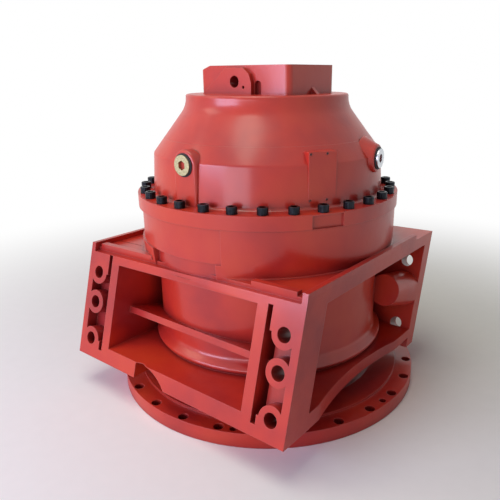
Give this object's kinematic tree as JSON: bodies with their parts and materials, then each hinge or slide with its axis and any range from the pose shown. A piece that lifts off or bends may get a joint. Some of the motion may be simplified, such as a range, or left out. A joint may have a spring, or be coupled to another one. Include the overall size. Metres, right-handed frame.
{
  "type": "mixer drum gearbox",
  "caption": "Planetary drum drive for a concrete mixer truck, with tilting drum flange, bolted base frame and hydraulic motor seat.",
  "frame": {"origin": "Centre of the drum flange's face towards the drum, on the drum axis.", "axes": "+Z along the drum axis towards the motor end; -Y on the side of the bolted base face, which leans 15 degrees from the drum axis; X level along the base face's hole rows."},
  "size_m": [0.588, 0.588, 0.595],
  "materials": {
    "red_enamel": "gloss",
    "black_oxide": "satin",
    "ground_steel": "ground",
    "gear_steel": "satin",
    "cast_iron": "machined",
    "yellow_zinc": "satin",
    "silver_zinc": "satin",
    "nitrile": "matte",
    "bronze": "satin"
  },
  "bodies": {
    "gearcase": {"housing": "red_enamel", "cover": "red_enamel", "cover_screws": "black_oxide", "joint_o_ring": "nitrile", "neck_ring": "red_enamel", "neck_ring_screws": "black_oxide", "bearing_outer_race": "ground_steel", "oil_fill_plug": "yellow_zinc", "oil_level_plug": "silver_zinc", "oil_drain_plug": "yellow_zinc", "ring_gear_output": "gear_steel", "ring_gear_middle": "gear_steel", "ring_gear_input": "gear_steel", "carrier_bush": "bronze", "input_bearing": "ground_steel", "input_seal": "nitrile"},
    "seal_carrier_set": {"seal_carrier": "ground_steel", "flange_lip_seal": "nitrile"},
    "drum_flange_set": {"drum_flange": "red_enamel", "hub_end_cover": "red_enamel", "end_cover_screws": "black_oxide", "bearing_inner_race": "ground_steel", "bearing_locknut": "black_oxide"},
    "roller_set": {"barrel_rollers": "ground_steel", "roller_cage": "bronze"},
    "output_carrier_set": {"carrier_output": "cast_iron", "planet_pins_output": "ground_steel", "crown_gear": "gear_steel", "crown_retaining_disc": "black_oxide"},
    "middle_carrier_set": {"carrier_middle": "cast_iron", "planet_pins_middle": "ground_steel", "sun_output": "gear_steel"},
    "input_carrier_set": {"carrier_input": "cast_iron", "planet_pins_input": "ground_steel", "sun_middle": "gear_steel"},
    "input_shaft_set": {"input_shaft": "gear_steel"},
    "planet_output_1_body": {"planet_output_1": "gear_steel"},
    "planet_output_2_body": {"planet_output_2": "gear_steel"},
    "planet_output_3_body": {"planet_output_3": "gear_steel"},
    "planet_output_4_body": {"planet_output_4": "gear_steel"},
    "planet_middle_1_body": {"planet_middle_1": "gear_steel"},
    "planet_middle_2_body": {"planet_middle_2": "gear_steel"},
    "planet_middle_3_body": {"planet_middle_3": "gear_steel"},
    "planet_input_1_body": {"planet_input_1": "gear_steel"},
    "planet_input_2_body": {"planet_input_2": "gear_steel"},
    "planet_input_3_body": {"planet_input_3": "gear_steel"}
  },
  "joints": [
    {"name": "drum_swivel", "type": "hinge", "parent": "gearcase", "child": "seal_carrier_set", "pos_m": [0, 0, 0.112], "axis": [1, 0, 0], "range_deg": [-6, 6]},
    {"name": "drum_flange_spin", "type": "hinge", "parent": "seal_carrier_set", "child": "drum_flange_set", "pos_m": [0, 0, 0.112], "axis": [0, 0, 1], "continuous": true},
    {"name": "roller_set_spin", "type": "hinge", "parent": "seal_carrier_set", "child": "roller_set", "pos_m": [0, 0, 0.112], "axis": [0, 0, 1], "continuous": true},
    {"name": "output_carrier_spin", "type": "hinge", "parent": "gearcase", "child": "output_carrier_set", "pos_m": [0, 0, 0.17], "axis": [0, 0, 1], "continuous": true},
    {"name": "middle_carrier_spin", "type": "hinge", "parent": "gearcase", "child": "middle_carrier_set", "pos_m": [0, 0, 0.37], "axis": [0, 0, 1], "continuous": true},
    {"name": "input_carrier_spin", "type": "hinge", "parent": "gearcase", "child": "input_carrier_set", "pos_m": [0, 0, 0.46], "axis": [0, 0, 1], "continuous": true},
    {"name": "input_shaft_spin", "type": "hinge", "parent": "gearcase", "child": "input_shaft_set", "pos_m": [0, 0, 0.53], "axis": [0, 0, 1], "continuous": true},
    {"name": "planet_output_1_spin", "type": "hinge", "parent": "output_carrier_set", "child": "planet_output_1_body", "pos_m": [0.12, 0, 0.278], "axis": [0, 0, 1], "continuous": true},
    {"name": "planet_output_2_spin", "type": "hinge", "parent": "output_carrier_set", "child": "planet_output_2_body", "pos_m": [0, 0.12, 0.278], "axis": [0, 0, 1], "continuous": true},
    {"name": "planet_output_3_spin", "type": "hinge", "parent": "output_carrier_set", "child": "planet_output_3_body", "pos_m": [-0.12, 0, 0.278], "axis": [0, 0, 1], "continuous": true},
    {"name": "planet_output_4_spin", "type": "hinge", "parent": "output_carrier_set", "child": "planet_output_4_body", "pos_m": [0, -0.12, 0.278], "axis": [0, 0, 1], "continuous": true},
    {"name": "planet_middle_1_spin", "type": "hinge", "parent": "middle_carrier_set", "child": "planet_middle_1_body", "pos_m": [0.099, 0, 0.41], "axis": [0, 0, 1], "continuous": true},
    {"name": "planet_middle_2_spin", "type": "hinge", "parent": "middle_carrier_set", "child": "planet_middle_2_body", "pos_m": [-0.0495, 0.08574, 0.41], "axis": [0, 0, 1], "continuous": true},
    {"name": "planet_middle_3_spin", "type": "hinge", "parent": "middle_carrier_set", "child": "planet_middle_3_body", "pos_m": [-0.0495, -0.08574, 0.41], "axis": [0, 0, 1], "continuous": true},
    {"name": "planet_input_1_spin", "type": "hinge", "parent": "input_carrier_set", "child": "planet_input_1_body", "pos_m": [0.075, 0, 0.485], "axis": [0, 0, 1], "continuous": true},
    {"name": "planet_input_2_spin", "type": "hinge", "parent": "input_carrier_set", "child": "planet_input_2_body", "pos_m": [-0.0375, 0.06495, 0.485], "axis": [0, 0, 1], "continuous": true},
    {"name": "planet_input_3_spin", "type": "hinge", "parent": "input_carrier_set", "child": "planet_input_3_body", "pos_m": [-0.0375, -0.06495, 0.485], "axis": [0, 0, 1], "continuous": true}
  ],
  "couplings": [
    {"joint": "roller_set_spin", "follows": "drum_flange_spin", "ratio": 0.45},
    {"joint": "output_carrier_spin", "follows": "drum_flange_spin", "ratio": 1},
    {"joint": "middle_carrier_spin", "follows": "drum_flange_spin", "ratio": 5},
    {"joint": "input_carrier_spin", "follows": "drum_flange_spin", "ratio": 27.5},
    {"joint": "input_shaft_spin", "follows": "drum_flange_spin", "ratio": 137.5},
    {"joint": "planet_output_1_spin", "follows": "drum_flange_spin", "ratio": -2.6667},
    {"joint": "planet_output_2_spin", "follows": "drum_flange_spin", "ratio": -2.6667},
    {"joint": "planet_output_3_spin", "follows": "drum_flange_spin", "ratio": -2.6667},
    {"joint": "planet_output_4_spin", "follows": "drum_flange_spin", "ratio": -2.6667},
    {"joint": "planet_middle_1_spin", "follows": "drum_flange_spin", "ratio": -12.857},
    {"joint": "planet_middle_2_spin", "follows": "drum_flange_spin", "ratio": -12.857},
    {"joint": "planet_middle_3_spin", "follows": "drum_flange_spin", "ratio": -12.857},
    {"joint": "planet_input_1_spin", "follows": "drum_flange_spin", "ratio": -73.333},
    {"joint": "planet_input_2_spin", "follows": "drum_flange_spin", "ratio": -73.333},
    {"joint": "planet_input_3_spin", "follows": "drum_flange_spin", "ratio": -73.333}
  ]
}
